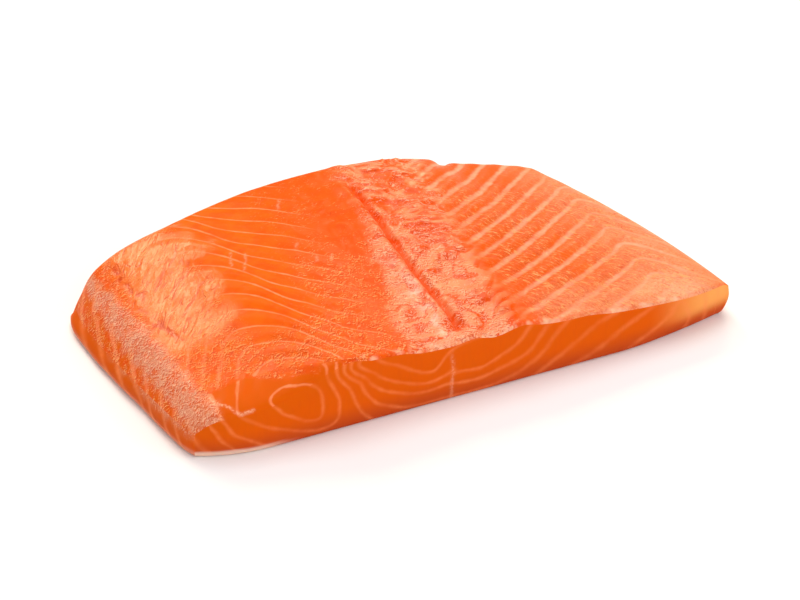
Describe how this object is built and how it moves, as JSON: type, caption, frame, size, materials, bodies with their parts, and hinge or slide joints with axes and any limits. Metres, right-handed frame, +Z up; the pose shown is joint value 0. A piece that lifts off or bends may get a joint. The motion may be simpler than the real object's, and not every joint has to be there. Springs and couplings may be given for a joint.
{
  "type": "smoked trout fillet piece",
  "caption": "Portion cut across a large smoked trout fillet, flesh side up: thick toward the back, thin at the belly edge, with a groove along the midline.",
  "frame": {"origin": "centre of the bounding box seen from above, on the underside that rests on the table", "axes": "+X across the fillet from the thick spine side to the thin belly edge, +Y from the near knife cut to the far one, +Z up"},
  "size_m": [0.1402, 0.073, 0.0211],
  "materials": {
    "flesh": "wet, oily gloss over orange flesh"
  },
  "bodies": {
    "root": {"fillet": "flesh"}
  },
  "joints": []
}
